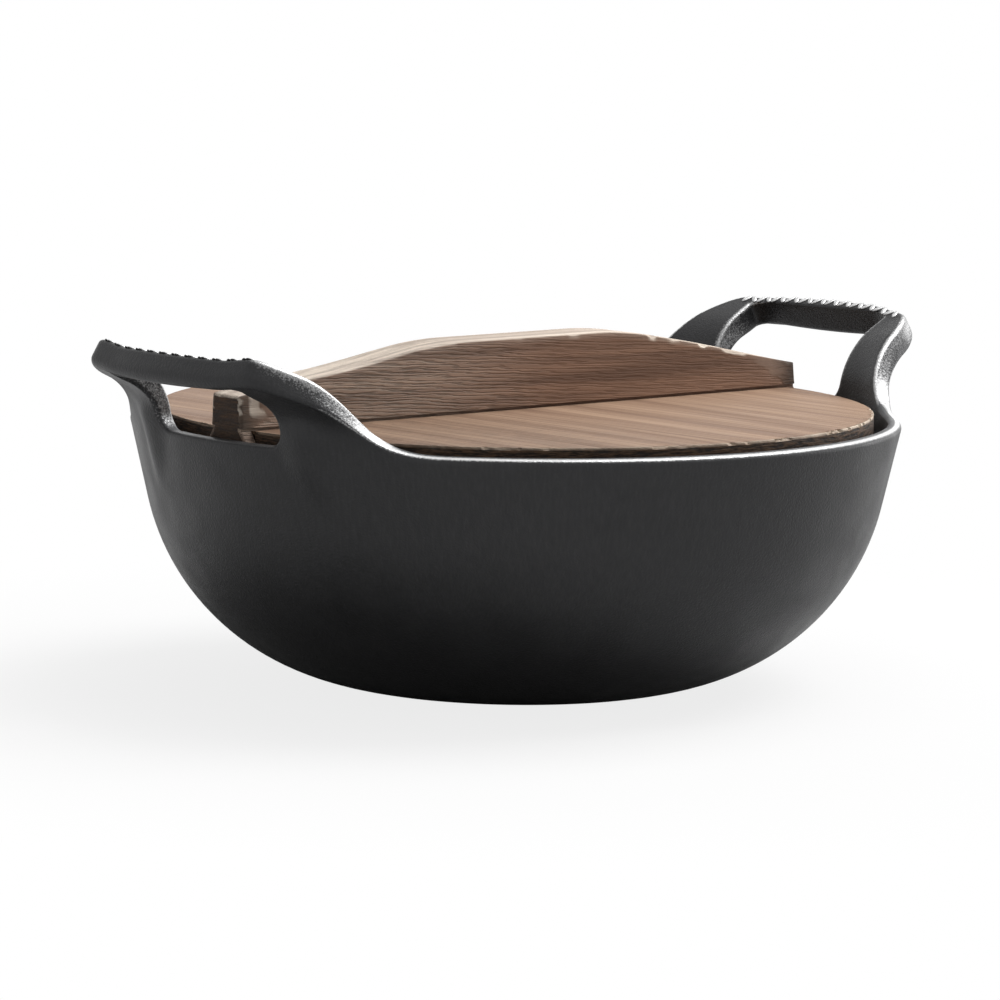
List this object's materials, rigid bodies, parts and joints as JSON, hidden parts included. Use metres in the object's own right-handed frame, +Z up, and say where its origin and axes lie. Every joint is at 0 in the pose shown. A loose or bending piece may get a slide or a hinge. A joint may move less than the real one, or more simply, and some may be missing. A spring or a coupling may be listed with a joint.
{
  "type": "sukiyaki pot",
  "caption": "Round cast iron sukiyaki pot with flared loop handles cast into the rim and a drop-in wooden lid with a dovetailed batten.",
  "frame": {"origin": "centre of the flat base, on the surface the pot stands on", "axes": "+Z up, +X along the line through both handles and along the lid's batten"},
  "size_m": [0.315, 0.2692, 0.1242],
  "materials": {
    "iron": "sand-cast, seasoned matt black, burnished on the rim and handle edges",
    "lid_wood": "brushed softwood, light brown, rough-sawn edge",
    "batten_wood": "hewn softwood, brown sides, pale worn top"
  },
  "bodies": {
    "pot": {"pot": "iron"},
    "lid": {"lid_board": "lid_wood", "lid_batten": "batten_wood"}
  },
  "joints": [
    {"name": "lid_lift", "type": "slide", "parent": "pot", "child": "lid", "axis": [0, 0, 1], "range_m": [0, 0.15]}
  ]
}
